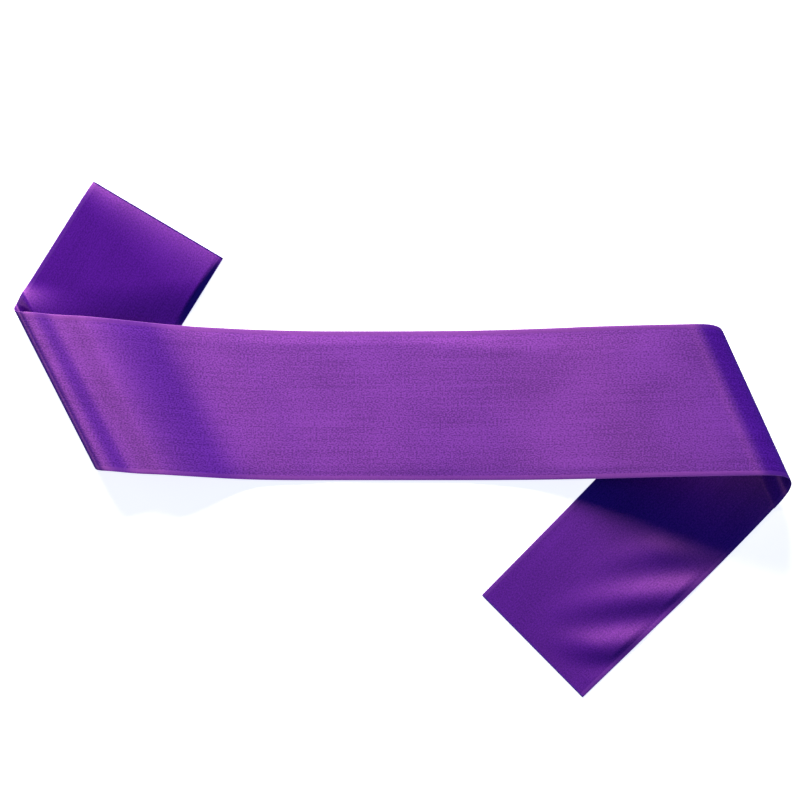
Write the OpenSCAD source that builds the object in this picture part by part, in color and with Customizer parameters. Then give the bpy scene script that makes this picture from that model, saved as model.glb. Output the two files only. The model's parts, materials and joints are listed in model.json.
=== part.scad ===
// Award ribbon: one long strip of woven satin, laid down in a Z.
// The main band lies face up. At its left end the strip is creased back under
// itself, and at its right end it rolls back under itself in a soft loop.
// Each fold is made of narrow strips that hinge on one another, so the ribbon
// can be opened out flat. +Z is up, and everything rests on Z = 0.

/* [Ribbon] */
// Width of the woven strip, edge to edge
ribbon_width = 100; // [25:1:150]
// Thickness of the satin
cloth_thickness = 0.3; // [0.2:0.05:1]
// Width of the dense woven edge along each side
selvedge_width = 3; // [1:0.5:5]
// Width of the melted bead that seals each cut end
seal_width = 1; // [0.5:0.1:3]
// Thickness of the melted bead
seal_thickness = 0.5; // [0.3:0.05:1.5]
// Gap between the strips of a fold, where they hinge
hinge_gap = 0.5; // [0.4:0.05:0.8]

/* [Main band] */
// Length that lies dead straight to the left of the middle
band_straight_left = 50; // [10:1:120]
// Length over which the left part swings round
band_bend_length = 120; // [40:1:140]
// Angle by which the left end of the band swings towards the rear
band_bend_angle = 4; // [0:0.5:8]
// The cloth is drawn wider by this share at the left crease
crease_spread = 0.02; // [0:0.005:0.04]

/* [Left fold] */
// Outer radius of the left crease
left_radius = 7; // [4:0.5:12]
// Distance of the crease's centre line from the middle of the band
left_reach = 215.5; // [180:0.5:300]
// Direction of the crease, counted from +X
left_angle = 117.5; // [105:0.5:125]
// Length over which the band comes down from the crease to the table
left_rise_length = 130; // [100:1:150]
// Length of the left tail beyond the crease
left_tail_length = 124; // [100:1:300]

/* [Right fold] */
// Outer radius of the right loop
right_radius = 15; // [8:0.5:20]
// Distance of the loop's centre line from the middle of the band
right_reach = 217.5; // [180:0.5:300]
// Direction of the loop, counted from +X
right_angle = 113.5; // [105:0.5:125]
// Length over which the band comes down from the loop to the table
right_rise_length = 150; // [120:1:170]
// Length of the right tail beyond the loop
right_tail_length = 198; // [120:1:400]
// Length of the right tail that leaves the loop straight
right_tail_straight = 25; // [25:1:60]
// Length over which the right tail swings round
right_tail_bend_length = 90; // [40:1:120]
// Angle by which the right tail swings
right_tail_bend_angle = 2.5; // [0:0.5:6]
// Share by which the right tail draws in at its cut end, where the cloth cups
right_tail_draw_in = 0.06; // [0:0.01:0.1]

/* [Hidden] */
half = ribbon_width / 2;
// The middle of the band, placed so that the origin is under the middle of the whole ribbon.
band_middle = [-0.2, 20.5];
// Turn taken by one strip of the loop and by one strip of the crease.
right_step = 45;
left_step = 60;
// Flat cloth that belongs to each end of the band, before the plain middle starts.
flat_run = 10;
// Flat facets in each half of the S curve by which the band comes down.
rise_steps = 12;
// Big enough to cut through anything here.
far = 700;
left_skew = left_angle - 90 + band_bend_angle;
right_skew = right_angle - 90;
left_half = half * (1 + crease_spread);

// Shares across the ribbon: -1 is the front edge of the band, 1 its rear edge.
inner = 1 - selvedge_width / half;
cloth = [-inner, inner];
rear = [inner, 1];
front = [-1, -inner];

// Angle that half the hinge gap takes up on a fold.
function setback(radius) = hinge_gap / 2 / (radius - cloth_thickness / 2) * 180 / PI;

satin_face = [0.51, 0.24, 0.67];
satin_back = [0.38, 0.10, 0.59];
woven_edge = [0.45, 0.18, 0.63];
melted_edge = [0.33, 0.08, 0.50];

// A path that is straight, then turns evenly, then is straight again: [x, y, heading].
function path(s, straight, bend, turn) =
  let (a = min(max(s - straight, 0), bend))
  let (b = max(s - straight - bend, 0))
  let (r = turn == 0 ? 1 : bend / (turn * PI / 180))
  let (h = turn * a / bend)
  let (x = min(s, straight) + (turn == 0 ? a : r * sin(h)) + b * cos(turn))
  let (y = (turn == 0 ? 0 : r * (1 - cos(h))) + b * sin(turn))
  [x, y, h];

// A point of the band's left half in plan. s runs out from the middle, k is the share across.
function left_point(s, k) =
  let (p = path(s, band_straight_left, band_bend_length, band_bend_angle))
  let (w = half * (1 + crease_spread * min(max((s - band_straight_left) / band_bend_length, 0), 1)))
  [-p[0] + sin(p[2]) * k * w, p[1] + cos(p[2]) * k * w];

// Where the middle line of the left half meets the crease's centre line.
left_far = left_point(300, 0);
left_out = [-sin(left_angle), cos(left_angle)];
left_back = ((left_far[0] + left_reach) * left_out[0] + left_far[1] * left_out[1])
  / (-cos(band_bend_angle) * left_out[0] + sin(band_bend_angle) * left_out[1]);
left_centre = left_far - left_back * [-cos(band_bend_angle), sin(band_bend_angle)];

// The plan of the whole band between two shares of its width, running past both folds.
module band_plan(k) {
  steps = [for (i = [0:12]) 50 + 10 * i];
  lower = [for (s = steps) left_point(s, k[0])];
  upper = [for (s = steps) left_point(s, k[1])];
  low = concat([[300, half * k[0]]], lower, [left_point(320, k[0])]);
  high = concat([[300, half * k[1]]], upper, [left_point(320, k[1])]);
  polygon(concat(low, [for (i = [len(high) - 1:-1:0]) high[i]]));
}

// Stands a shape drawn in x and z up across the whole width.
module across() {
  rotate([90, 0, 0])
    linear_extrude(height = far, center = true)
      children();
}

// One face of the long S curve by which the band comes down from the top of a fold.
// lift is how far that face lies above the middle of the cloth.
function rise_face(radius, length, lift) =
  let (drop = 2 * radius - cloth_thickness)
  let (curve = (length * length + drop * drop) / (4 * drop))
  let (swing = asin(length / 2 / curve))
  let (top = 2 * radius - cloth_thickness / 2 - curve)
  let (low = cloth_thickness / 2 + curve)
  concat(
    [for (i = [0:rise_steps]) let (a = swing * i / rise_steps)
      [-(curve + lift) * sin(a), top + (curve + lift) * cos(a)]],
    [for (i = [1:rise_steps]) let (a = swing * (1 - i / rise_steps))
      [-length + (curve - lift) * sin(a), low - (curve - lift) * cos(a)]],
    [[-length - flat_run, cloth_thickness / 2 + lift]]
  );

// That curve seen from the side, with a little of the flat that it runs into.
module rise_profile(radius, length) {
  above = rise_face(radius, length, cloth_thickness / 2);
  below = rise_face(radius, length, -cloth_thickness / 2);
  polygon(concat(above, [for (i = [len(below) - 1:-1:0]) below[i]]));
}

// Part of a fold, from one angle to another, counted from its top.
// Drawn with x pointing out of the fold and the loop's centre line along y.
module fold_arc(radius, skew, half_width, from, to, k) {
  turn = (from + to) / 2;
  run = (radius - cloth_thickness / 2) * turn * PI / 180;
  reach = radius;
  near_y = -(run - reach) * tan(skew);
  far_y = -(run + reach) * tan(skew);
  side = half_width / cos(skew);
  translate([0, 0, radius])
    intersection() {
      across()
        intersection() {
          difference() {
            circle(r = radius, $fn = 180);
            circle(r = radius - cloth_thickness, $fn = 180);
          }
          polygon([[0, 0], 2 * radius * [sin(from), cos(from)], 2 * radius * [sin(to), cos(to)]]);
        }
      rotate([0, turn, 0])
        linear_extrude(height = 2 * radius)
          polygon([
            [-reach, near_y + side * k[0]],
            [reach, far_y + side * k[0]],
            [reach, far_y + side * k[1]],
            [-reach, near_y + side * k[1]]
          ]);
    }
}

// Places a shape drawn for the left fold, or for the right one.
module at_left() {
  translate([left_centre[0], left_centre[1], 0])
    rotate([0, 0, left_angle + 90])
      children();
}

module at_right() {
  translate([right_reach, 0, 0])
    rotate([0, 0, right_angle - 90])
      children();
}

module in_place() {
  translate([band_middle[0], band_middle[1], 0])
    children();
}

// The left fold is drawn turned round, so its front is the band's rear.
function turned(k) = [-k[1], -k[0]];

module band(k) {
  left_dir = [cos(left_angle), sin(left_angle)];
  right_dir = [cos(right_angle), sin(right_angle)];
  left_foot = left_centre - (left_rise_length + flat_run / 2) * [-sin(left_angle), cos(left_angle)];
  right_foot = [right_reach, 0] - (right_rise_length + flat_run / 2) * [sin(right_angle), -cos(right_angle)];
  in_place()
    union() {
      intersection() {
        linear_extrude(height = 2 * max(left_radius, right_radius) + 1)
          band_plan(k);
        union() {
          linear_extrude(height = cloth_thickness)
            polygon([
              left_foot - 200 * left_dir,
              right_foot - 200 * right_dir,
              right_foot + 200 * right_dir,
              left_foot + 200 * left_dir
            ]);
          at_left()
            across()
              rise_profile(left_radius, left_rise_length);
          at_right()
            across()
              rise_profile(right_radius, right_rise_length);
        }
      }
      at_left()
        fold_arc(left_radius, left_skew, left_half, 0, left_step / 2 - setback(left_radius), turned(k));
      at_right()
        fold_arc(right_radius, right_skew, half, 0, right_step / 2 - setback(right_radius), k);
    }
}

module left_strip(number, k) {
  from = left_step * (number - 0.5) + setback(left_radius);
  to = left_step * (number + 0.5) - setback(left_radius);
  in_place()
    at_left()
      fold_arc(left_radius, left_skew, left_half, from, to, turned(k));
}

module right_strip(number, k) {
  from = right_step * (number - 0.5) + setback(right_radius);
  to = right_step * (number + 0.5) - setback(right_radius);
  in_place()
    at_right()
      fold_arc(right_radius, right_skew, half, from, to, k);
}

// A point of a tail in plan, drawn with x pointing out of the fold.
// s runs along the tail from the fold, k is the share across.
function tail_point(s, k, radius, skew, half_width, length, straight, bend, turn, draw_in) =
  let (p = path(s, straight, bend, turn))
  let (w = half_width * (1 - draw_in * min(max(s / length, 0), 1)))
  let (start = [0, -PI * (radius - cloth_thickness / 2) * tan(skew)])
  let (along = [-cos(skew), -sin(skew)])
  let (over = [-sin(skew), cos(skew)])
  start + p[0] * along + p[1] * over + k * w * (cos(p[2]) * over - sin(p[2]) * along);

function left_tail_point(s, k) =
  tail_point(s, k, left_radius, left_skew, left_half, left_tail_length, 32, 60, 0, 0);

function right_tail_point(s, k) =
  tail_point(s, k, right_radius, right_skew, half, right_tail_length,
    right_tail_straight, right_tail_bend_length, right_tail_bend_angle, right_tail_draw_in);

module left_tail_plan(from, to, k) {
  polygon([
    left_tail_point(from, k[0]),
    left_tail_point(to, k[0]),
    left_tail_point(to, k[1]),
    left_tail_point(from, k[1])
  ]);
}

module right_tail_plan(from, to, k) {
  bends = [for (i = [0:6]) right_tail_straight + right_tail_bend_length * i / 6];
  inside = [for (s = bends) if (s > from && s < to) s];
  along = concat([from, max(from, 0)], inside, [to]);
  low = [for (s = along) right_tail_point(s, k[0])];
  high = [for (s = along) right_tail_point(s, k[1])];
  polygon(concat(low, [for (i = [len(high) - 1:-1:0]) high[i]]));
}

module before_fold() {
  translate([-far, -far / 2])
    square([far, far]);
}

module left_tail(k) {
  from = 180 - left_step / 2 + setback(left_radius);
  in_place()
    at_left()
      union() {
        fold_arc(left_radius, left_skew, left_half, from, 180, turned(k));
        linear_extrude(height = cloth_thickness)
          intersection() {
            left_tail_plan(-80, left_tail_length - seal_width, turned(k));
            before_fold();
          }
      }
}

module right_tail(k) {
  from = 180 - right_step / 2 + setback(right_radius);
  in_place()
    at_right()
      union() {
        fold_arc(right_radius, right_skew, half, from, 180, k);
        linear_extrude(height = cloth_thickness)
          intersection() {
            right_tail_plan(-80, right_tail_length - seal_width, k);
            before_fold();
          }
      }
}

module left_seal() {
  in_place()
    at_left()
      linear_extrude(height = seal_thickness)
        left_tail_plan(left_tail_length - seal_width, left_tail_length, [-1, 1]);
}

module right_seal() {
  in_place()
    at_right()
      linear_extrude(height = seal_thickness)
        polygon([
          right_tail_point(right_tail_length - seal_width, -1),
          right_tail_point(right_tail_length, -1),
          right_tail_point(right_tail_length, 1),
          right_tail_point(right_tail_length - seal_width, 1)
        ]);
}

module band_cloth() { color(satin_face) band(cloth); }
module band_rear_selvedge() { color(woven_edge) band(rear); }
module band_front_selvedge() { color(woven_edge) band(front); }

module left_fold_1_cloth() { color(satin_face) left_strip(1, cloth); }
module left_fold_1_rear_selvedge() { color(woven_edge) left_strip(1, rear); }
module left_fold_1_front_selvedge() { color(woven_edge) left_strip(1, front); }
module left_fold_2_cloth() { color(satin_back) left_strip(2, cloth); }
module left_fold_2_rear_selvedge() { color(woven_edge) left_strip(2, rear); }
module left_fold_2_front_selvedge() { color(woven_edge) left_strip(2, front); }

module left_tail_cloth() { color(satin_back) left_tail(cloth); }
module left_tail_rear_selvedge() { color(woven_edge) left_tail(rear); }
module left_tail_front_selvedge() { color(woven_edge) left_tail(front); }
module left_tail_sealed_end() { color(melted_edge) left_seal(); }

module right_fold_1_cloth() { color(satin_face) right_strip(1, cloth); }
module right_fold_1_rear_selvedge() { color(woven_edge) right_strip(1, rear); }
module right_fold_1_front_selvedge() { color(woven_edge) right_strip(1, front); }
module right_fold_2_cloth() { color(satin_face) right_strip(2, cloth); }
module right_fold_2_rear_selvedge() { color(woven_edge) right_strip(2, rear); }
module right_fold_2_front_selvedge() { color(woven_edge) right_strip(2, front); }
module right_fold_3_cloth() { color(satin_back) right_strip(3, cloth); }
module right_fold_3_rear_selvedge() { color(woven_edge) right_strip(3, rear); }
module right_fold_3_front_selvedge() { color(woven_edge) right_strip(3, front); }

module right_tail_cloth() { color(satin_back) right_tail(cloth); }
module right_tail_rear_selvedge() { color(woven_edge) right_tail(rear); }
module right_tail_front_selvedge() { color(woven_edge) right_tail(front); }
module right_tail_sealed_end() { color(melted_edge) right_seal(); }

band_cloth();
band_rear_selvedge();
band_front_selvedge();
left_fold_1_cloth();
left_fold_1_rear_selvedge();
left_fold_1_front_selvedge();
left_fold_2_cloth();
left_fold_2_rear_selvedge();
left_fold_2_front_selvedge();
left_tail_cloth();
left_tail_rear_selvedge();
left_tail_front_selvedge();
left_tail_sealed_end();
right_fold_1_cloth();
right_fold_1_rear_selvedge();
right_fold_1_front_selvedge();
right_fold_2_cloth();
right_fold_2_rear_selvedge();
right_fold_2_front_selvedge();
right_fold_3_cloth();
right_fold_3_rear_selvedge();
right_fold_3_front_selvedge();
right_tail_cloth();
right_tail_rear_selvedge();
right_tail_front_selvedge();
right_tail_sealed_end();
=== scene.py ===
"""Looks for an award ribbon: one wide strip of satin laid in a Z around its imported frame."""

import json
import math
from typing import NamedTuple

import bpy
import numpy as np
from bpy.props import FloatProperty, FloatVectorProperty, PointerProperty
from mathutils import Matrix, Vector


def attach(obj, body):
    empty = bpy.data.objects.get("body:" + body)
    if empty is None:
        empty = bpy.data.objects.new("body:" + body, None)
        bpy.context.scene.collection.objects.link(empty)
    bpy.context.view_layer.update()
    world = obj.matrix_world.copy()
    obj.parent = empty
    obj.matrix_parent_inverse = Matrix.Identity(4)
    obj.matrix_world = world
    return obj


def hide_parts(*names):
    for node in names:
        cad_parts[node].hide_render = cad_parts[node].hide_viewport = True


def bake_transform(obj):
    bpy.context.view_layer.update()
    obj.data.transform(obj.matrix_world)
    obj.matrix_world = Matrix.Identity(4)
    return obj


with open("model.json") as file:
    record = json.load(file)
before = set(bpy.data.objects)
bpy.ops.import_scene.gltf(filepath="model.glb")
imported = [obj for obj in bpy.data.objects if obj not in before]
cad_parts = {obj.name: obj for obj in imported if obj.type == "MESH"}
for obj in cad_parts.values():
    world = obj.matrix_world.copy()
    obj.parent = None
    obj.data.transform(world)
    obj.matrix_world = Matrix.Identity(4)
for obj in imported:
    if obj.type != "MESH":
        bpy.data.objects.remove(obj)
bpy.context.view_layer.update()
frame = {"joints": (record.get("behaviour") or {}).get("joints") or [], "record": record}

bl_info = {
    "name": "Award ribbon",
    "version": (1, 0, 0),
    "blender": (4, 5, 0),
    "location": "3D View > Sidebar > Ribbon",
    "description": "Weaves a wide satin ribbon, folds it into a Z and lights it",
    "category": "Object",
}

JOINTS = {j["name"]: j for j in frame["joints"]}
MOUNT = frame["record"]["mounts"][0]["pos_m"]
MM = 0.001
UP = np.array([0.0, 0.0, 1.0])


def linear(hex_colour):
    """An sRGB hex value as the linear colour that Blender works in."""
    text = hex_colour.lstrip("#")
    shares = [int(text[i : i + 2], 16) / 255 for i in (0, 2, 4)]
    return tuple(
        c / 12.92 if c <= 0.04045 else ((c + 0.055) / 1.055) ** 2.4 for c in shares
    )


def colour_property(name, hex_colour, description):
    """A colour that a user may change."""
    return FloatVectorProperty(
        name=name,
        description=description,
        subtype="COLOR",
        size=3,
        min=0,
        max=1,
        default=linear(hex_colour),
    )


def length_property(name, millimetres, description):
    """A length that a user may change."""
    return FloatProperty(
        name=name,
        description=description,
        subtype="DISTANCE",
        unit="LENGTH",
        default=millimetres * MM,
        min=0,
    )


def angle_property(name, degrees, description):
    """An angle that a user may change."""
    return FloatProperty(
        name=name, description=description, subtype="ANGLE", default=math.radians(degrees)
    )


class RibbonSizes(bpy.types.PropertyGroup):
    """Sizes of the strip and of the way it is laid."""

    width: length_property("Ribbon width", 100, "Width of the strip, edge to edge")
    thickness: length_property("Cloth thickness", 0.3, "Thickness of the satin")
    selvedge_width: length_property(
        "Selvedge width", 3, "Width of the dense woven edge on each side"
    )
    selvedge_crown: length_property(
        "Selvedge crown", 0.04, "How far the selvedge's tighter weave stands up"
    )
    edge_thickness: length_property(
        "Edge thickness", 0.12, "Thickness of the selvedge at its very edge"
    )
    seal_width: length_property("Seal width", 1, "Width of the melted bead at a cut")
    seal_height: length_property("Seal height", 0.5, "Thickness of the melted bead")
    straight: length_property(
        "Straight middle", 50, "Length left of the middle that lies dead straight"
    )
    bend_length: length_property(
        "Band bend length", 120, "Length over which the left part swings round"
    )
    bend_angle: angle_property(
        "Band bend", 4, "Angle by which the left end of the band swings to the rear"
    )
    crease_spread: FloatProperty(
        name="Crease spread",
        description="Share by which the cloth is drawn wider at the left crease",
        subtype="FACTOR",
        default=0.02,
        min=0,
        max=0.05,
    )
    left_rise: length_property(
        "Left rise", 130, "Length over which the band comes down from the left crease"
    )
    right_rise: length_property(
        "Right rise", 150, "Length over which the band comes down from the right loop"
    )
    left_tail: length_property("Left tail", 124, "Length of the tail beyond the crease")
    right_tail: length_property("Right tail", 198, "Length of the tail beyond the loop")
    right_tail_straight: length_property(
        "Right tail straight", 25, "Length of the right tail that leaves it straight"
    )
    right_tail_bend: length_property(
        "Right tail bend length", 90, "Length over which the right tail swings round"
    )
    right_tail_angle: angle_property(
        "Right tail swing", 2.5, "Angle by which the right tail swings"
    )
    right_tail_draw_in: FloatProperty(
        name="Right tail draw-in",
        description="Share by which the right tail narrows at its cut end",
        subtype="FACTOR",
        default=0.06,
        min=0,
        max=0.1,
    )
    loft: length_property("Loft", 0.7, "How far the band's cloth stands off the table")
    crease_dip: length_property("Crease dip", 2.4, "Depth of the dip beyond the crease")
    crease_drop: length_property(
        "Crease drop", 2.6, "Depth of the dip between the crease and the bulge"
    )
    loop_kick: length_property(
        "Loop kick", 14.0, "How sharply the band turns down into the loop"
    )
    loop_bulge: length_property("Loop bulge", 3.0, "Extra height of the band by the loop")
    tail_loft: length_property("Tail loft", 3.6, "How far the left tail stands off")
    crease_lift: length_property(
        "Crease lift", 6.0, "How far the left tail's edge is drawn up at the crease"
    )
    turned_edge: length_property(
        "Turned edge", 3.5, "Width of the left tail's turned-down edge"
    )
    pucker: length_property("Pucker", 0.8, "Half the height of the right tail's puckers")
    mesh_step: length_property(
        "Mesh step", 2.5, "Distance between two rows of the cloth's mesh"
    )


class RibbonColours(bpy.types.PropertyGroup):
    """Colours of the dyed polyester."""

    face: colour_property("Satin face", "#521A9A", "Dyed floats on the face side")
    face_deep: colour_property("Satin face, deep", "#380C72", "Gaps between the floats")
    back: colour_property("Satin back", "#51148E", "Weft on the reverse side")
    back_deep: colour_property("Satin back, deep", "#3C0C70", "Gaps in the weft")
    sheen: colour_property("Thread gloss", "#FF8CF4", "Tint of the thread's own gloss")
    edge: colour_property("Selvedge", "#481582", "Packed threads of the woven edge")
    # the lighter rim colour of the edge: partly the weft loops, partly a painted highlight
    # where the edge catches the light
    edge_rim_highlight: colour_property("Edge loops", "#8A50B4", "Weft loops at the very edge")
    seal: colour_property("Melted edge", "#3A1280", "Polyester sealed with heat")
    floor: colour_property("Table", "#F4F4F4", "Plain pale table")


class RibbonStage(bpy.types.PropertyGroup):
    """Camera and light."""

    camera_height: angle_property("Camera elevation", 82, "Angle above the table")
    camera_distance: length_property("Camera distance", 2000, "From camera to aim")
    aim_forward: length_property("Aim", 24.2, "How far behind the origin it aims")
    lens: FloatProperty(
        name="Lens",
        description="Focal length on a 36 mm sensor",
        default=135.6,
        unit="CAMERA",
    )
    key_power: FloatProperty(
        name="Key light", description="Power of the softbox", default=510, unit="POWER"
    )
    key_azimuth: angle_property("Key azimuth", 14, "Left of straight behind")
    key_elevation: angle_property("Key elevation", 17, "Above the table")
    key_distance: length_property("Key distance", 3600, "From the ribbon")
    key_width: length_property("Key width", 2400, "Width of the softbox")
    key_depth: length_property("Key height", 1000, "Height of the softbox")
    side_power: FloatProperty(
        name="Side light", description="Power of the low side softbox", default=7,
        unit="POWER",
    )
    side_azimuth: angle_property("Side azimuth", 85, "Left of straight behind")
    side_elevation: angle_property("Side elevation", 4, "Above the table")
    side_distance: length_property("Side distance", 1500, "From the ribbon")
    side_width: length_property("Side width", 1400, "Width of the softbox")
    side_depth: length_property("Side height", 280, "Height of the softbox")
    softbox_colour: colour_property("Softbox colour", "#FFF6E8", "Both softboxes")
    fill: FloatProperty(
        name="Fill", description="Strength of the even cool fill", default=0.28
    )
    fill_colour: colour_property("Fill colour", "#5C8CFF", "Light from the room")
    room: FloatProperty(
        name="Room", description="Brightness of the room to look at", default=0.9
    )
    room_colour: colour_property("Room colour", "#F4F6FA", "The room to look at")
    table_size: length_property("Table size", 12000, "Length of each side")
    glow: FloatProperty(
        name="Table glow", description="Light from inside the opal table", default=0.95
    )


# ---------------------------------------------------------------- laying the cloth


def smooth(x, low=0.0, high=1.0):
    """Rises softly from 0 at low to 1 at high."""
    t = np.clip((np.asarray(x, float) - low) / (high - low), 0, 1)
    return t * t * (3 - 2 * t)


def hump(x, middle, reach):
    """A soft hump, 1 at its middle and 0 from reach away."""
    return 1 - smooth(np.abs(np.asarray(x, float) - middle) / reach)


def swing(s, straight, bend, turn):
    """A path that is straight, then turns evenly, then is straight: x, y and heading."""
    a = np.clip(s - straight, 0, bend)
    rest = np.maximum(s - straight - bend, 0)
    heading = turn * a / bend
    radius = bend / turn if turn else 1.0
    x = np.minimum(s, straight) + (radius * np.sin(heading) if turn else a)
    y = radius * (1 - np.cos(heading)) if turn else 0 * a
    return x + rest * math.cos(turn), y + rest * math.sin(turn), heading


class Fold:
    """Where one end of the band rolls under, read from the frame's hinges."""

    def __init__(self, side):
        names = [n for n in JOINTS if n.startswith(side)]
        hinges = [np.array(JOINTS[n]["pos_m"]) for n in names]
        axis = np.array(JOINTS[names[0]]["axis"], float)
        axis /= np.linalg.norm(axis)
        self.step = math.radians(JOINTS[names[0]]["range_deg"][1])
        self.along = -axis
        self.out = np.cross(UP, axis)
        first, second = hinges[0], hinges[1]
        gap = second - first
        chord = math.hypot(gap @ self.out, gap[2])
        self.radius = chord / (2 * math.sin(self.step / 2))
        self.skew = -math.atan2(gap @ self.along, self.radius * self.step)
        half_step = self.step / 2
        centre = (
            first
            - self.out * self.radius * math.sin(half_step)
            + self.along * self.radius * half_step * math.tan(self.skew)
        )
        self.centre = np.array([centre[0], centre[1], 0.0])
        self.axis_height = first[2] - self.radius * math.cos(half_step)
        self.roll = math.pi * self.radius
        self.hinges = [self.step * (i + 0.5) for i in range(len(names))]

    def place(self, x, y, z):
        """Points from the fold's own x, y and z."""
        return (
            self.centre
            + np.multiply.outer(x, self.out)
            + np.multiply.outer(y, self.along)
            + np.multiply.outer(z, UP)
        )

    def at_angle(self, angle, shift=0.0):
        """A point of the roll at an angle from its top, moved along the roll's tangent."""
        x = self.radius * math.sin(angle) + shift * math.cos(angle)
        z = self.axis_height + self.radius * math.cos(angle) - shift * math.sin(angle)
        y = -self.radius * angle * math.tan(self.skew)
        return tuple(float(v) for v in self.place(x, y, z))


class Half:
    """One half of the ribbon, from the middle of the band to a cut end.

    s is the length along the middle line, out from the middle of the band.
    t is the distance across, positive to the rear of the band."""

    def __init__(self, side, sizes):
        self.left = side == "left"
        self.sizes = sizes
        self.fold = Fold(side)
        self.middle = np.array([MOUNT[0], MOUNT[1], 0.0])
        self.half = sizes.width / 2
        self.rise = sizes.left_rise if self.left else sizes.right_rise
        self.tail = sizes.left_tail if self.left else sizes.right_tail
        # the middle line reaches the fold here, measured back from a point well past it
        far = 300 * MM
        end = self.plan(np.array([far]), np.array([0.0]))[0]
        self.start = far - float(np.linalg.norm(end - self.fold.centre))
        self.run = self.fold.roll / math.cos(self.fold.skew)
        self.end = self.start + self.run + self.tail
        self.turn = -1 if self.left else 1

    def spread(self, s):
        """Share by which the cloth is wider than it was woven."""
        if not self.left:
            return np.zeros_like(s)
        z = self.sizes
        return z.crease_spread * np.clip((s - z.straight) / z.bend_length, 0, 1)

    def plan(self, s, t):
        """The band seen from above, as if it ran on past the fold."""
        if not self.left:
            flat = np.stack([s, t, 0 * s], -1)
            return self.middle + flat
        z = self.sizes
        x, y, heading = swing(s, z.straight, z.bend_length, z.bend_angle)
        wide = t * (1 + self.spread(s))
        flat = np.stack(
            [-x + np.sin(heading) * wide, y + np.cos(heading) * wide, 0 * s], -1
        )
        return self.middle + flat

    def rise_height(self, inward):
        """Height of the cloth's middle, a given distance in from the top of the fold."""
        thick = self.sizes.thickness
        top = self.fold.axis_height + self.fold.radius
        drop = top - thick / 2
        length = self.rise
        curve = (length**2 + drop**2) / (4 * drop)
        a = np.clip(inward, 0, length)
        upper = top - (curve - np.sqrt(curve**2 - np.minimum(a, length / 2) ** 2))
        lower = thick / 2 + curve - np.sqrt(
            curve**2 - np.minimum(length - a, length / 2) ** 2
        )
        return np.where(a <= length / 2, upper, lower)

    def tail_plan(self, s, t):
        """Plan of the tail, in the fold's own x and y. s is counted from the roll's foot."""
        z, fold = self.sizes, self.fold
        if self.left:
            x, y, heading = s, 0 * s, 0 * s
            wide = t * (1 + z.crease_spread)
        else:
            x, y, heading = swing(
                s, z.right_tail_straight, z.right_tail_bend, z.right_tail_angle
            )
            wide = t * (1 - z.right_tail_draw_in * np.clip(s / self.tail, 0, 1))
        cos_k, sin_k = math.cos(fold.skew), math.sin(fold.skew)
        px = x - wide * np.sin(heading)
        py = y + wide * np.cos(heading)
        return (
            -px * cos_k - py * sin_k,
            -fold.roll * math.tan(fold.skew) - px * sin_k + py * cos_k,
        )

    def middle_surface(self, s, t):
        """Points on the middle of the cloth, and nothing else."""
        s, t = np.broadcast_arrays(np.asarray(s, float), np.asarray(t, float))
        fold = self.fold
        flat = self.plan(s, t)
        offset = flat - fold.centre
        # u is the distance out past the top of the fold, and v the distance along it
        u = offset @ fold.out
        v = offset @ fold.along
        height = self.rise_height(-u) + band_relief(self, s, t, -u)
        band = np.stack([flat[..., 0], flat[..., 1], height], -1)
        angle = np.clip(u / fold.radius, 0, math.pi)
        beyond = s - self.start - self.run
        turned_t = t * self.turn
        x, y = self.tail_plan(beyond, turned_t)
        past = u > fold.roll
        lift = tail_relief(self, beyond, turned_t, np.where(past, -x, u - fold.roll))
        rolled = fold.place(
            fold.radius * np.sin(angle),
            v,
            fold.axis_height + fold.radius * np.cos(angle) + lift,
        )
        tail = fold.place(x, y, self.sizes.thickness / 2 + lift)
        return np.where(past[..., None], tail, np.where((u > 0)[..., None], rolled, band))

    def surface(self, s, t, offset=0.0):
        """Points at an offset from the cloth's middle, towards its face side."""
        s, t = np.broadcast_arrays(np.asarray(s, float), np.asarray(t, float))
        points = self.middle_surface(s, t)
        return points + self.face_normals(s, t) * np.asarray(offset)[..., None]

    def face_normals(self, s, t):
        """Unit normals on the face side."""
        d = 0.02 * MM
        ds = self.middle_surface(s + d, t) - self.middle_surface(s - d, t)
        dt = self.middle_surface(s, t + d) - self.middle_surface(s, t - d)
        n = np.cross(ds, dt) * self.turn
        return n / np.linalg.norm(n, axis=-1, keepdims=True)

    def slant(self, s):
        """1 where a row of the mesh runs along the fold, 0 where it runs straight across."""
        rise_ends = self.start - self.rise
        tail_starts = self.start + self.run
        up = smooth(s, 0.0, max(rise_ends, 85 * MM))
        down = 1 - smooth(s, tail_starts + 5 * MM, self.end - 10 * MM)
        return np.minimum(up, down)

    def row(self, s, t):
        """Where a mesh row through s on the middle line lies at distance t across."""
        lean = math.tan(self.fold.skew) * self.slant(s) * self.turn
        return s - t * lean

    def at_roll(self, angle, shift=0.0):
        """Length along the middle line at which the cloth reaches an angle of the roll."""
        u = self.fold.radius * angle + shift
        return self.start + u / math.cos(self.fold.skew)


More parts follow.
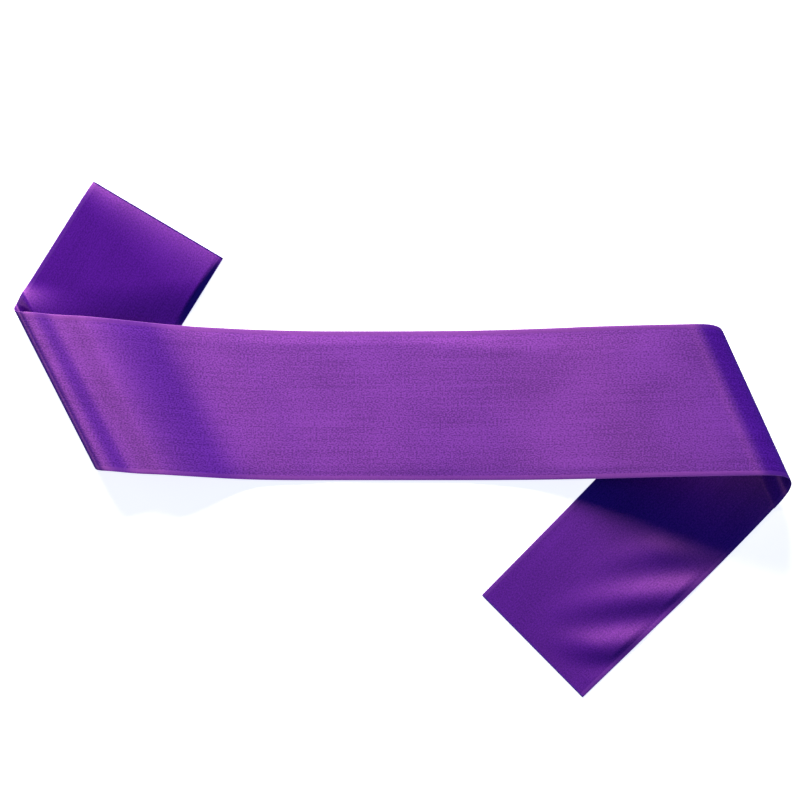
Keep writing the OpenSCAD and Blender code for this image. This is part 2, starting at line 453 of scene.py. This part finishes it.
def band_relief(half, s, t, inward):
    """How the band strays from its plain curve, where it isn't rolled. Metres."""
    z = half.sizes
    along = s if half.turn > 0 else -s
    # the cloth stands a little off the table, in long and uneven waves
    wave = np.sin(along / (31 * MM) + t / (60 * MM)) + np.sin(along / (19 * MM) - t / (45 * MM))
    calm = smooth(inward, 10 * MM, 90 * MM)
    loft = z.loft * smooth(inward, 0.0, 90 * MM) * (1 + 0.2 * wave * calm)
    # the woven edges are tight and stay down, the rear one most
    rear = half.half - t
    held = smooth(rear, 0.0, (10 + 8 * smooth(along, 0.0, 120 * MM)) * MM)
    relief = loft * held * (0.6 + 0.4 * smooth(half.half + t, 0.0, 9 * MM))
    if half.left:
        # it drops away from the crease, bulges and sinks again
        dip = smooth(inward, 0.0, 15 * MM) * (1 - smooth(inward, 17 * MM, 32 * MM))
        relief = relief - z.crease_drop * dip
        return relief - z.crease_dip * hump(inward, 74 * MM, 42 * MM)
    # the cloth comes off the loop straight, and sags less than an even curve would
    share = np.clip(inward / (110 * MM), 0, 1)
    relief = relief - z.loop_kick * smooth(inward, 0.0, 8 * MM) * share * (1 - share) ** 2
    return relief + z.loop_bulge * hump(inward, 108 * MM, 80 * MM)


def tail_relief(half, s, t, inward):
    """How far the tail is lifted off the table. s from the roll's foot, t across."""
    z = half.sizes
    right = t / half.half
    if half.left:
        clear = smooth(inward, -0.25 * half.fold.roll, 4 * MM)
        # it stands off the table, most at its right edge, and droops to its cut end
        reach = (32 + 14 * right) * MM
        droop = np.clip((s - half.tail + reach) / reach, 0, 1) ** 2
        free = (22 + 36 * right) * MM
        loft = z.tail_loft * (1 + 0.3 * right)
        body = loft * smooth(s, free, free + 50 * MM) * (1 - droop)
        # its left edge is drawn up into the crease
        drawn = 1 - smooth(s, 18 * MM, (62 + 16 * right) * MM)
        body = body + z.crease_lift * drawn * smooth(-right, -0.4, 1.0)
        # its right edge is turned down
        return clear * body * smooth(half.half - t, 0.0, z.turned_edge)
    # puckers run in from its right edge at a slant, and fade
    clear = smooth(inward, 0.0, 14 * MM)
    phase = (s - 96 * MM - 1.15 * (t + 0.84 * half.half)) / (24 * MM) * math.pi
    fade = smooth(-right, -0.35, 0.8) * smooth(s, 66 * MM, 98 * MM)
    fade = fade * (1 - smooth(s, 166 * MM, 194 * MM))
    pucker = z.pucker * (1 + np.sin(phase)) * fade
    held = smooth(half.half + t, 0.0, 8 * MM)
    return clear * pucker * (0.25 + 0.75 * held)


def stations(half, low, high):
    """Lengths along the middle line at which the mesh has a row, close together in a roll."""
    step = half.sizes.mesh_step
    fine = half.fold.radius * math.radians(3)
    marks = (
        half.at_roll(0, -half.rise),
        half.at_roll(0, -6 * MM),
        half.at_roll(0),
        half.at_roll(math.pi),
        half.at_roll(math.pi, 6 * MM),
    )
    stops = sorted({low, high, *(x for x in marks if low < x < high)})
    rows = [low]
    for a, b in zip(stops, stops[1:]):
        middle = (a + b) / 2
        rolled = half.at_roll(0, -7 * MM) < middle < half.at_roll(math.pi, 7 * MM)
        count = max(1, math.ceil((b - a) / (fine if rolled else step)))
        rows += list(np.linspace(a, b, count + 1)[1:])
    return np.array(rows)


def add_object(name, data):
    """A new object in the scene."""
    made = bpy.data.objects.new(name, data)
    bpy.context.scene.collection.objects.link(made)
    return made


def rim_walls(at, count):
    """Quads from the rim of the face to the rim of the back. at numbers the face's points."""
    rim = np.concatenate([at[0, :], at[1:, -1], at[-1, -2::-1], at[-2:0:-1, 0]])
    following = np.roll(rim, -1)
    return np.stack([rim, following, following + count, rim + count], -1)


def strip_mesh(name, half, rows, across, lift, materials):
    """A closed strip of cloth. rows are lengths, across are distances from the middle line,
    and lift gives half the thickness at each distance across."""
    t = np.broadcast_to(across, (len(rows), len(across)))
    s = half.row(rows[:, None], t)
    d = 0.05 * MM
    thick = np.broadcast_to(lift(across), t.shape)

    def shell(sign):
        """Points and normals of the face side, or with a sign of -1 of the back."""
        points = half.surface(s, t, sign * thick)
        up = half.surface(s + d, t, sign * thick) - half.surface(s - d, t, sign * thick)
        wide = half.surface(s, t + d, sign * lift(t + d)) - half.surface(
            s, t - d, sign * lift(t - d)
        )
        normal = np.cross(up, wide) * half.turn * sign
        return points, normal / np.linalg.norm(normal, axis=-1, keepdims=True)

    face, face_normal = shell(1)
    back, back_normal = shell(-1)
    n, m = t.shape
    count = n * m
    vertices = np.concatenate([face.reshape(-1, 3), back.reshape(-1, 3)])
    normals = np.concatenate([face_normal.reshape(-1, 3), back_normal.reshape(-1, 3)])
    length = half.turn * s
    uv = np.concatenate([np.stack([length, t], -1).reshape(-1, 2)] * 2)
    at = np.arange(count).reshape(n, m)
    quads = np.stack([at[:-1, :-1], at[1:, :-1], at[1:, 1:], at[:-1, 1:]], -1)
    quads = quads.reshape(-1, 4)
    walls = rim_walls(at, count)
    if half.turn < 0:
        quads, walls = quads[:, ::-1], walls[:, ::-1]
    faces = np.concatenate([quads, quads[:, ::-1] + count, walls])
    # the face, the back and the walls each take a material of their own
    kinds = [0] * len(quads) + [1] * len(quads) + [2] * len(walls)
    mesh = bpy.data.meshes.new(name)
    mesh.from_pydata(vertices.tolist(), [], faces.tolist())
    for material in materials:
        mesh.materials.append(material)
    mesh.polygons.foreach_set("material_index", kinds)
    mesh.polygons.foreach_set("use_smooth", [True] * len(faces))
    layer = mesh.uv_layers.new(name="cloth")
    corner = np.zeros(len(mesh.loops), np.int64)
    mesh.loops.foreach_get("vertex_index", corner)
    layer.data.foreach_set("uv", uv[corner].ravel())
    # both sides are shaded by the true curve, and the thin walls by their own flat faces
    loop_normals = normals[corner]
    ends = vertices[walls]
    flat = np.cross(ends[:, 2] - ends[:, 0], ends[:, 3] - ends[:, 1])
    flat /= np.maximum(np.linalg.norm(flat, axis=1, keepdims=True), 1e-12)
    loop_normals[-4 * len(walls) :] = np.repeat(flat, 4, axis=0)
    mesh.normals_split_custom_set(loop_normals.tolist())
    mesh.update()
    return add_object(name, mesh)


# ---------------------------------------------------------------- materials


def node(tree, kind, settings=None, **links):
    """Adds a node. settings sets its own values, links joins or sets its inputs by name."""
    made = tree.nodes.new(kind)
    for key, value in (settings or {}).items():
        setattr(made, key, value)
    for key, value in links.items():
        socket = made.inputs[int(key[1:])] if key[1:].isdigit() else made.inputs[key]
        if isinstance(value, bpy.types.NodeSocket):
            tree.links.new(value, socket)
        else:
            socket.default_value = value
    return made


def new_material(name):
    """A material with an empty node tree, and the tree."""
    material = bpy.data.materials.new(name)
    material.use_nodes = True
    tree = material.node_tree
    tree.nodes.clear()
    return material, tree


def opaque(colour):
    """A colour with its alpha, as a colour socket takes it."""
    return (*colour, 1.0)


def cloth_place(tree, lengthwise, crosswise, seed):
    """A place on the cloth, counted in cells of lengthwise by crosswise millimetres."""
    place = node(tree, "ShaderNodeUVMap", {"uv_map": "cloth"}).outputs[0]
    scale = (1000 / lengthwise, 1000 / crosswise, 1.0)
    return node(
        tree, "ShaderNodeMapping", None, Vector=place, Scale=scale, Location=(seed, seed, 0)
    ).outputs[0]


def satin(name, floats, gaps, gloss, level, roughness, grain, uneven):
    """Woven polyester satin, dyed in the yarn: long floats of bright thread lie side by
    side, so it shines in a band across the threads and goes dark along them.

    level is the strength of the gloss, grain how sharply light and dark floats part, and
    uneven how much the dye clouds."""
    material, tree = new_material(name)
    # drawn polyester's index of refraction is about 1.7 along the thread
    # real floats are about 0.1 mm wide and 1 mm long: they are drawn coarser, at 0.8 by
    # 1.3 mm, so that their grain shows
    threads = node(
        tree, "ShaderNodeTexNoise", {"noise_dimensions": "2D"},
        Vector=cloth_place(tree, 1.3, 0.8, 3.0), Scale=1.0, Detail=1.0, Roughness=0.5,
    ).outputs[0]
    # yarn that is a little thicker or thinner runs on for centimetres
    streak = node(
        tree, "ShaderNodeTexNoise", {"noise_dimensions": "2D"},
        Vector=cloth_place(tree, 90.0, 1.1, 11.0), Scale=1.0, Detail=2.0, Roughness=0.55,
    ).outputs[0]
    # dye takes unevenly over a few centimetres
    cloud = node(
        tree, "ShaderNodeTexNoise", {"noise_dimensions": "2D"},
        Vector=cloth_place(tree, 45.0, 30.0, 5.0), Scale=1.0, Detail=3.0, Roughness=0.5,
    ).outputs[0]
    streaky = 0.3
    both = node(
        tree, "ShaderNodeMath", {"operation": "MULTIPLY_ADD"},
        _0=streak, _1=streaky, _2=threads,
    ).outputs[0]
    both = node(
        tree, "ShaderNodeMath", {"operation": "MULTIPLY_ADD"}, _0=cloud, _1=uneven, _2=both
    ).outputs[0]
    # the noises average half of their weights
    middle = 0.5 * (1 + streaky + uneven)
    share = node(
        tree, "ShaderNodeMapRange", None,
        _0=both, _1=middle - 0.5 / grain, _2=middle + 0.5 / grain, _3=0.0, _4=1.0,
    ).outputs[0]
    dyed = node(
        tree, "ShaderNodeMix", {"data_type": "RGBA"},
        _0=share, _6=opaque(gaps), _7=opaque(floats),
    ).outputs[2]
    # a float that lies flat shines more than one that dips
    faint = tuple(c * 0.5 for c in gloss)
    shine = node(
        tree, "ShaderNodeMix", {"data_type": "RGBA"},
        _0=share, _6=opaque(faint), _7=opaque(gloss),
    ).outputs[2]
    rough = node(
        tree, "ShaderNodeMapRange", None,
        _0=both, _1=middle - 0.5, _2=middle + 0.5, _3=roughness + 0.06, _4=roughness - 0.06,
    ).outputs[0]
    relief = node(
        tree, "ShaderNodeBump", None, Strength=0.6, Distance=0.06 * MM, Height=both
    ).outputs[0]
    grainwise = node(
        tree, "ShaderNodeTangent", {"direction_type": "UV_MAP", "uv_map": "cloth"}
    ).outputs[0]
    shader = node(
        tree, "ShaderNodeBsdfPrincipled", None,
        **{
            "Base Color": dyed,
            "Roughness": rough,
            "IOR": 1.7,
            "Specular IOR Level": level,
            "Specular Tint": shine,
            "Anisotropic": 0.9,
            "Anisotropic Rotation": 0.25,
            "Normal": relief,
            "Tangent": grainwise,
        },
    )
    node(tree, "ShaderNodeOutputMaterial", None, Surface=shader.outputs[0])
    return material


def satin_face():
    """The side with the long floats, which takes the light most strongly."""
    look = bpy.context.scene.ribbon_colours
    return satin(
        "polyester_satin_face", look.face, look.face_deep, look.sheen,
        level=1.0, roughness=0.5, grain=2.6, uneven=0.3,
    )


def satin_back():
    """The reverse, where the weft shows between the floats: darker and more even."""
    look = bpy.context.scene.ribbon_colours
    return satin(
        "polyester_satin_back", look.back, look.back_deep, look.sheen,
        level=0.85, roughness=0.46, grain=2.0, uneven=0.3,
    )


def selvedge():
    """The woven edge: warp packed tightly and the weft turning back in small loops, so it
    is a little duller than the satin and ribbed across. Its last half millimetre is lighter:
    partly the loops, partly a painted highlight where the edge catches the light."""
    look = bpy.context.scene.ribbon_colours
    sizes = bpy.context.scene.ribbon_sizes
    material, tree = new_material("woven_selvedge")
    place = node(tree, "ShaderNodeUVMap", {"uv_map": "cloth"}).outputs[0]
    split = node(tree, "ShaderNodeSeparateXYZ", None, _0=place)
    across = node(tree, "ShaderNodeMath", {"operation": "ABSOLUTE"}, _0=split.outputs[1])
    # the loops stand in the last half millimetre, where the colour is lightened: partly for the
    # loops, partly as a painted highlight
    edge = sizes.width / 2
    rim = node(
        tree, "ShaderNodeMapRange", None,
        _0=across.outputs[0], _1=edge - 0.5 * MM, _2=edge - 0.1 * MM, _3=0.0, _4=1.0,
    ).outputs[0]
    # weft loops are about 0.3 mm apart: they are drawn 0.9 mm apart so that they show
    loops = node(
        tree, "ShaderNodeTexNoise", {"noise_dimensions": "2D"},
        Vector=cloth_place(tree, 0.9, 2.5, 7.0), Scale=1.0, Detail=2.0, Roughness=0.6,
    ).outputs[0]
    warp = node(
        tree, "ShaderNodeTexNoise", {"noise_dimensions": "2D"},
        Vector=cloth_place(tree, 30.0, 0.6, 9.0), Scale=1.0, Detail=1.0, Roughness=0.5,
    ).outputs[0]
    mixed = node(
        tree, "ShaderNodeMath", {"operation": "MULTIPLY_ADD"}, _0=warp, _1=0.7, _2=loops
    ).outputs[0]
    share = node(
        tree, "ShaderNodeMapRange", None, _0=mixed, _1=0.55, _2=1.15, _3=0.0, _4=0.2
    ).outputs[0]
    # the lightened rim, partly a painted highlight, wins over the woven grain
    share = node(tree, "ShaderNodeMath", {"operation": "MAXIMUM"}, _0=share, _1=rim)
    dyed = node(
        tree, "ShaderNodeMix", {"data_type": "RGBA"},
        _0=share.outputs[0], _6=opaque(look.edge), _7=opaque(look.edge_rim_highlight),
    ).outputs[2]
    relief = node(
        tree, "ShaderNodeBump", None, Strength=0.5, Distance=0.08 * MM, Height=mixed
    ).outputs[0]
    grainwise = node(
        tree, "ShaderNodeTangent", {"direction_type": "UV_MAP", "uv_map": "cloth"}
    ).outputs[0]
    shader = node(
        tree, "ShaderNodeBsdfPrincipled", None,
        **{
            "Base Color": dyed,
            "Roughness": 0.5,
            "IOR": 1.7,
            "Specular IOR Level": 0.8,
            "Specular Tint": opaque(look.sheen),
            "Anisotropic": 0.9,
            "Anisotropic Rotation": 0.25,
            "Normal": relief,
            "Tangent": grainwise,
        },
    )
    node(tree, "ShaderNodeOutputMaterial", None, Surface=shader.outputs[0])
    return material


def melted_polyester():
    """Polyester melted by a hot knife: the threads run together into a hard, dark and
    glossy bead, slightly lumpy."""
    look = bpy.context.scene.ribbon_colours
    material, tree = new_material("melted_polyester")
    lumps_per_metre = 900.0
    lumps = node(
        tree, "ShaderNodeTexNoise", None,
        Vector=node(tree, "ShaderNodeTexCoord").outputs["Object"],
        Scale=lumps_per_metre, Detail=2.0, Roughness=0.5,
    ).outputs[0]
    rough = node(
        tree, "ShaderNodeMapRange", None, _0=lumps, _1=0.3, _2=0.7, _3=0.22, _4=0.4
    ).outputs[0]
    relief = node(
        tree, "ShaderNodeBump", None, Strength=0.6, Distance=0.1 * MM, Height=lumps
    ).outputs[0]
    shader = node(
        tree, "ShaderNodeBsdfPrincipled", None,
        **{"Base Color": opaque(look.seal), "Roughness": rough, "IOR": 1.57, "Normal": relief},
    )
    node(tree, "ShaderNodeOutputMaterial", None, Surface=shader.outputs[0])
    return material


def opal_table():
    """Matt opal acrylic, lit a little from inside: even and pale, with soft shadows."""
    look = bpy.context.scene.ribbon_colours
    material, tree = new_material("opal_table")
    specks_per_metre = 400.0
    speck = node(
        tree, "ShaderNodeTexNoise", None,
        Vector=node(tree, "ShaderNodeTexCoord").outputs["Object"],
        Scale=specks_per_metre, Detail=2.0, Roughness=0.5,
    ).outputs[0]
    rough = node(
        tree, "ShaderNodeMapRange", None, _0=speck, _1=0.3, _2=0.7, _3=0.85, _4=0.95
    ).outputs[0]
    shader = node(
        tree, "ShaderNodeBsdfPrincipled", None,
        **{
            "Base Color": opaque(look.floor),
            "Roughness": rough,
            "Specular IOR Level": 0.2,
            "Emission Color": opaque(look.floor),
            "Emission Strength": bpy.context.scene.ribbon_stage.glow,
        },
    )
    node(tree, "ShaderNodeOutputMaterial", None, Surface=shader.outputs[0])
    return material


def finish_named(name, maker):
    """The material of that name, made on first use."""
    return bpy.data.materials.get(name) or maker()


# ---------------------------------------------------------------- pieces and stage


class Section(NamedTuple):
    """One piece of a half of the strip."""

    name: str
    low: float  # where it starts, along the middle line
    high: float  # where it stops
    hinge: float  # the angle of the roll at which it hinges
    reach: float  # how far it bends on either side of the hinge
    near_body: str  # the frame body on the band's side of the hinge
    far_body: str  # the one on the tail's side
    bodies: tuple  # the bodies whose cloth it stands for


def sections(half):
    """The pieces of a half, in order out from the middle."""
    fold = half.fold
    if half.left:
        near = 2 * MM
        one, two, three = fold.hinges
        first_cut = half.at_roll(one, near)
        last_cut = half.at_roll(three, -near)
        return [
            Section("band_left", 0.0, first_cut, one, near,
                    "band", "left_fold_1", ("band",)),
            Section("left_crease", first_cut, last_cut, two, near,
                    "left_fold_1", "left_fold_2", ("left_fold_1", "left_fold_2")),
            Section("left_tail", last_cut, half.end, three, near,
                    "left_fold_2", "left_tail", ("left_tail",)),
        ]
    cuts = [half.at_roll(fold.step * i) for i in (1, 2, 3)]
    reach = fold.radius * fold.step / 2
    one, two, three, four = fold.hinges
    return [
        Section("band_right", 0.0, cuts[0], one, reach,
                "band", "right_fold_1", ("band",)),
        Section("right_loop_upper", cuts[0], cuts[1], two, reach,
                "right_fold_1", "right_fold_2", ("right_fold_1",)),
        Section("right_loop_lower", cuts[1], cuts[2], three, reach,
                "right_fold_2", "right_fold_3", ("right_fold_2", "right_fold_3")),
        Section("right_tail", cuts[2], half.end, four, reach,
                "right_fold_3", "right_tail", ("right_tail",)),
    ]


def bend_over(piece, half, section):
    """Works out where the piece would bend on either side of its hinge, which nothing uses, and
    bakes its placement into its mesh.
    """
    half.fold.at_angle(section.hinge, -section.reach)
    half.fold.at_angle(section.hinge, section.reach)
    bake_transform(piece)


def inner_edge(sizes):
    """Where the satin meets the selvedge, from the middle line."""
    return sizes.width / 2 - sizes.selvedge_width


def end_of(half, section):
    """Where the cloth of a section stops: a tail's cloth ends inside its melted bead."""
    if section.high == half.end:
        return section.high - half.sizes.seal_width * 0.5
    return section.high


def make_cloth(context, wanted):
    """The satin of the sections whose names are wanted."""
    sizes = context.scene.ribbon_sizes
    finishes = [
        finish_named("polyester_satin_face", satin_face),
        finish_named("polyester_satin_back", satin_back),
        finish_named("woven_selvedge", selvedge),
    ]
    inner = inner_edge(sizes)
    across = np.linspace(-inner, inner, math.ceil(2 * inner / sizes.mesh_step) + 1)
    for side in ("left", "right"):
        half = Half(side, sizes)
        for section in sections(half):
            name, low, high = section.name, section.low, end_of(half, section)
            if name not in wanted:
                continue
            piece = strip_mesh(
                f"{name}_satin",
                half,
                stations(half, low, high),
                across,
                lambda t: sizes.thickness / 2 + 0 * np.asarray(t),
                finishes,
            )
            bend_over(piece, half, section)
            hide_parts(*[f"{body}_cloth" for body in section.bodies])


def selvedge_profile(sizes):
    """Half the selvedge's thickness, by distance from the middle line: flush with the satin
    inside, crowned over its packed threads and thin at the very edge."""
    inner, outer = inner_edge(sizes), sizes.width / 2

    def lift(t):
        share = np.clip((np.abs(t) - inner) / (outer - inner), 0, 1)
        base = sizes.thickness / 2
        crown = sizes.selvedge_crown * np.sqrt(np.clip(np.sin(math.pi * share), 0, 1))
        return base + crown - (base - sizes.edge_thickness / 2) * share**4

    return lift


def make_selvedges(context):
    """The woven edges along both sides of every section."""
    sizes = context.scene.ribbon_sizes
    finishes = [finish_named("woven_selvedge", selvedge)] * 3
    # close together where the edge rounds over
    shares = np.array([0, 0.06, 0.15, 0.3, 0.5, 0.7, 0.85, 0.94, 1.0])
    inner, outer = inner_edge(sizes), sizes.width / 2
    for side in ("left", "right"):
        half = Half(side, sizes)
        for section in sections(half):
            rows = stations(half, section.low, end_of(half, section))
            for place, sign in (("rear", 1), ("front", -1)):
                across = np.sort(sign * (inner + (outer - inner) * shares))
                piece = strip_mesh(
                    f"{section.name}_{place}_woven_edge",
                    half,
                    rows,
                    across,
                    selvedge_profile(sizes),
                    finishes,
                )
                bend_over(piece, half, section)
                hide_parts(*[f"{body}_{place}_selvedge" for body in section.bodies])


def make_seal(context, side):
    """The melted bead along a cut end: a low, rounded and slightly lumpy ridge."""
    sizes = context.scene.ribbon_sizes
    half = Half(side, sizes)
    rng = np.random.default_rng(7 if side == "left" else 8)
    rings = 120
    around = 12
    # a lump every third ring, and thin at both corners
    wave = np.interp(np.arange(rings), np.arange(0, rings, 3), rng.random(rings // 3))
    swell = 0.85 + 0.15 * wave
    swell[[0, -1]] *= 0.5
    angle = np.arange(around) * 2 * math.pi / around
    t = np.linspace(-half.half, half.half, rings)[:, None]
    along = sizes.seal_width / 2 * np.cos(angle) * swell[:, None]
    above = sizes.seal_height / 2 * np.sin(angle) * swell[:, None]
    points = half.surface(half.end - sizes.seal_width / 2 + along, t, above)
    # the bead rests on the table like the cloth does
    vertices = points.reshape(-1, 3) + UP * (sizes.seal_height - sizes.thickness) / 2
    faces = []
    for i in range(rings - 1):
        for j in range(around):
            a, b = i * around + j, i * around + (j + 1) % around
            faces.append((a, b, b + around, a + around))
    faces.append(tuple(range(around))[::-1])
    faces.append(tuple((rings - 1) * around + j for j in range(around)))
    mesh = bpy.data.meshes.new(f"{side}_tail_seal")
    mesh.from_pydata(vertices.tolist(), [], faces)
    mesh.materials.append(finish_named("melted_polyester", melted_polyester))
    mesh.polygons.foreach_set("use_smooth", [True] * len(faces))
    mesh.update()
    piece = add_object(f"{side}_tail_seal", mesh)
    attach(piece, f"{side}_tail")
    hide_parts(f"{side}_tail_sealed_end")


def lay_table(stage):
    """A plain table just under the cloth, so that the two don't share a surface."""
    reach = stage.table_size / 2
    below = 0.2 * MM
    corners = ((-1, -1), (1, -1), (1, 1), (-1, 1))
    mesh = bpy.data.meshes.new("table_top")
    mesh.from_pydata([(x * reach, y * reach, -below) for x, y in corners], [], [(0, 1, 2, 3)])
    mesh.materials.append(opal_table())
    table = add_object("table_top", mesh)
    # the table's bounce is left out, so that the shade under the cloth stays deep
    table.visible_diffuse = False
    table.visible_glossy = False


def face_centre(made, way):
    """Turns an object that lies some way off so that it looks back at the ribbon."""
    made.rotation_euler = (-way).to_track_quat("-Z", "Y").to_euler()


def set_camera(stage):
    """A long lens from high in front, aimed a little behind the origin."""
    data = bpy.data.cameras.new("camera")
    data.lens = stage.lens
    data.sensor_width = 36
    camera = add_object("camera", data)
    tilt = stage.camera_height
    away = Vector((0, -math.cos(tilt), math.sin(tilt))) * stage.camera_distance
    camera.location = Vector((MOUNT[0], stage.aim_forward, 0)) + away
    face_centre(camera, away)
    bpy.context.scene.camera = camera


def add_softbox(name, stage):
    """A softbox aimed at the ribbon. Its azimuth counts left from straight behind."""
    azimuth, elevation, distance, width, height, power = (
        getattr(stage, f"{name}_{key}")
        for key in ("azimuth", "elevation", "distance", "width", "depth", "power")
    )
    light = bpy.data.lights.new(name, "AREA")
    light.shape = "RECTANGLE"
    light.size, light.size_y = width, height
    light.energy = power
    light.color = stage.softbox_colour
    box = add_object(name, light)
    way = Vector(
        (
            -math.sin(azimuth) * math.cos(elevation),
            math.cos(azimuth) * math.cos(elevation),
            math.sin(elevation),
        )
    )
    box.location = way * distance
    face_centre(box, way)


def light_room(stage):
    """The room is pale to look at, and its light is cool."""
    world = bpy.data.worlds.new("studio")
    world.use_nodes = True
    tree = world.node_tree
    tree.nodes.clear()
    seen = node(
        tree, "ShaderNodeBackground", None,
        Color=opaque(stage.room_colour), Strength=stage.room,
    )
    lit = node(
        tree, "ShaderNodeBackground", None,
        Color=opaque(stage.fill_colour), Strength=stage.fill,
    )
    path = node(tree, "ShaderNodeLightPath")
    mixed = node(
        tree, "ShaderNodeMixShader", None,
        _0=path.outputs["Is Camera Ray"], _1=lit.outputs[0], _2=seen.outputs[0],
    )
    node(tree, "ShaderNodeOutputWorld", None, Surface=mixed.outputs[0])
    bpy.context.scene.world = world


class RIBBON_OT_stage(bpy.types.Operator):
    """Lay the table and set the camera and the studio light"""

    bl_idname = "ribbon.stage"
    bl_label = "Set the stage"

    def execute(self, context):
        stage = context.scene.ribbon_stage
        context.scene.view_settings.view_transform = "Standard"
        context.scene.view_settings.look = "None"
        lay_table(stage)
        set_camera(stage)
        add_softbox("key", stage)
        add_softbox("side", stage)
        light_room(stage)
        return {"FINISHED"}


class RIBBON_OT_selvedges(bpy.types.Operator):
    """Weave the dense edges along both sides of the strip"""

    bl_idname = "ribbon.selvedges"
    bl_label = "Weave the selvedges"

    def execute(self, context):
        make_selvedges(context)
        return {"FINISHED"}


class RIBBON_OT_seals(bpy.types.Operator):
    """Melt the two cut ends so that they don't fray"""

    bl_idname = "ribbon.seals"
    bl_label = "Seal the cut ends"

    def execute(self, context):
        for side in ("left", "right"):
            make_seal(context, side)
        return {"FINISHED"}


class RIBBON_OT_band(bpy.types.Operator):
    """Lay the long face-up band between the folds"""

    bl_idname = "ribbon.band"
    bl_label = "Lay the band"

    def execute(self, context):
        make_cloth(context, {"band_left", "band_right"})
        return {"FINISHED"}


class RIBBON_OT_crease(bpy.types.Operator):
    """Crease the left end back under itself"""

    bl_idname = "ribbon.crease"
    bl_label = "Crease the left end"

    def execute(self, context):
        make_cloth(context, {"left_crease"})
        return {"FINISHED"}


class RIBBON_OT_loop(bpy.types.Operator):
    """Roll the right end back under itself in a soft loop"""

    bl_idname = "ribbon.loop"
    bl_label = "Roll the right end"

    def execute(self, context):
        make_cloth(context, {"right_loop_upper", "right_loop_lower"})
        return {"FINISHED"}


class RIBBON_OT_tails(bpy.types.Operator):
    """Lay the two tails on the table"""

    bl_idname = "ribbon.tails"
    bl_label = "Lay the tails"

    def execute(self, context):
        make_cloth(context, {"left_tail", "right_tail"})
        return {"FINISHED"}


STEPS = (
    RIBBON_OT_stage,
    RIBBON_OT_selvedges,
    RIBBON_OT_seals,
    RIBBON_OT_band,
    RIBBON_OT_crease,
    RIBBON_OT_loop,
    RIBBON_OT_tails,
)


class RIBBON_PT_panel(bpy.types.Panel):
    """Lists the sizes, the colours and the steps in order"""

    bl_idname = "RIBBON_PT_panel"
    bl_label = "Award ribbon"
    bl_space_type = "VIEW_3D"
    bl_region_type = "UI"
    bl_category = "Ribbon"

    def draw(self, context):
        layout = self.layout
        for group in ("ribbon_sizes", "ribbon_colours", "ribbon_stage"):
            box = layout.box()
            settings = getattr(context.scene, group)
            for key in settings.__annotations__:
                box.prop(settings, key)
        for step in STEPS:
            layout.operator(step.bl_idname)


GROUPS = {
    "ribbon_sizes": RibbonSizes,
    "ribbon_colours": RibbonColours,
    "ribbon_stage": RibbonStage,
}


def register():
    for group in (*GROUPS.values(), *STEPS, RIBBON_PT_panel):
        bpy.utils.register_class(group)
    for name, group in GROUPS.items():
        setattr(bpy.types.Scene, name, PointerProperty(type=group))


def unregister():
    for name in GROUPS:
        delattr(bpy.types.Scene, name)
    for group in (RIBBON_PT_panel, *reversed(STEPS), *reversed(GROUPS.values())):
        bpy.utils.unregister_class(group)


def main():
    """Registers the add-on and builds the ribbon."""
    register()
    for step in STEPS:
        family, action = step.bl_idname.split(".")
        getattr(getattr(bpy.ops, family), action)()


if __name__ == "__main__":
    main()
